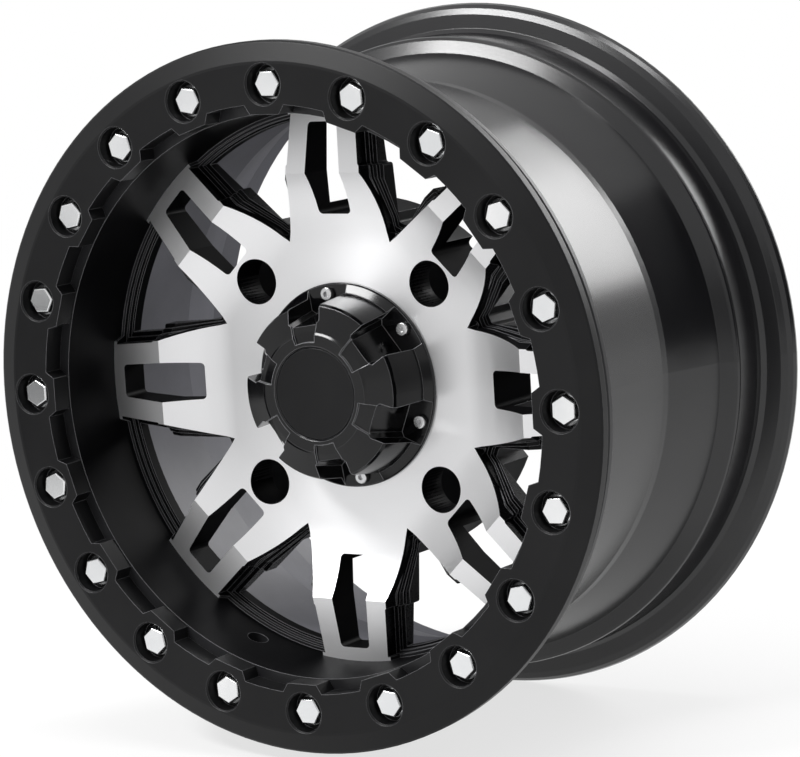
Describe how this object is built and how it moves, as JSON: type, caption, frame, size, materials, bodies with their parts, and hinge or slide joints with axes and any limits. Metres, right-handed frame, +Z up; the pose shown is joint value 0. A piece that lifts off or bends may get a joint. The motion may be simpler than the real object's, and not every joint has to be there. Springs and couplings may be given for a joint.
{
  "type": "utility terrain vehicle wheel",
  "caption": "Cast beadlock wheel with slotted machined spokes, a bolted clamp ring and a fluted centre cap.",
  "frame": {"origin": "centre of the hub mounting face", "axes": "+Y along the spin axis towards the vehicle, styled face towards -Y, +Z up"},
  "size_m": [0.3905, 0.213, 0.3906],
  "materials": {
    "cast_paint": "satin",
    "ring_paint": "satin",
    "bolt_zinc": "satin",
    "cap_plastic": "gloss",
    "disc_plastic": "satin",
    "screw_steel": "satin"
  },
  "bodies": {
    "root": {"wheel_casting": "cast_paint", "beadlock_ring": "ring_paint", "ring_bolts": "bolt_zinc", "centre_cap": "cap_plastic", "cap_disc": "disc_plastic", "cap_screws": "screw_steel"}
  },
  "joints": []
}
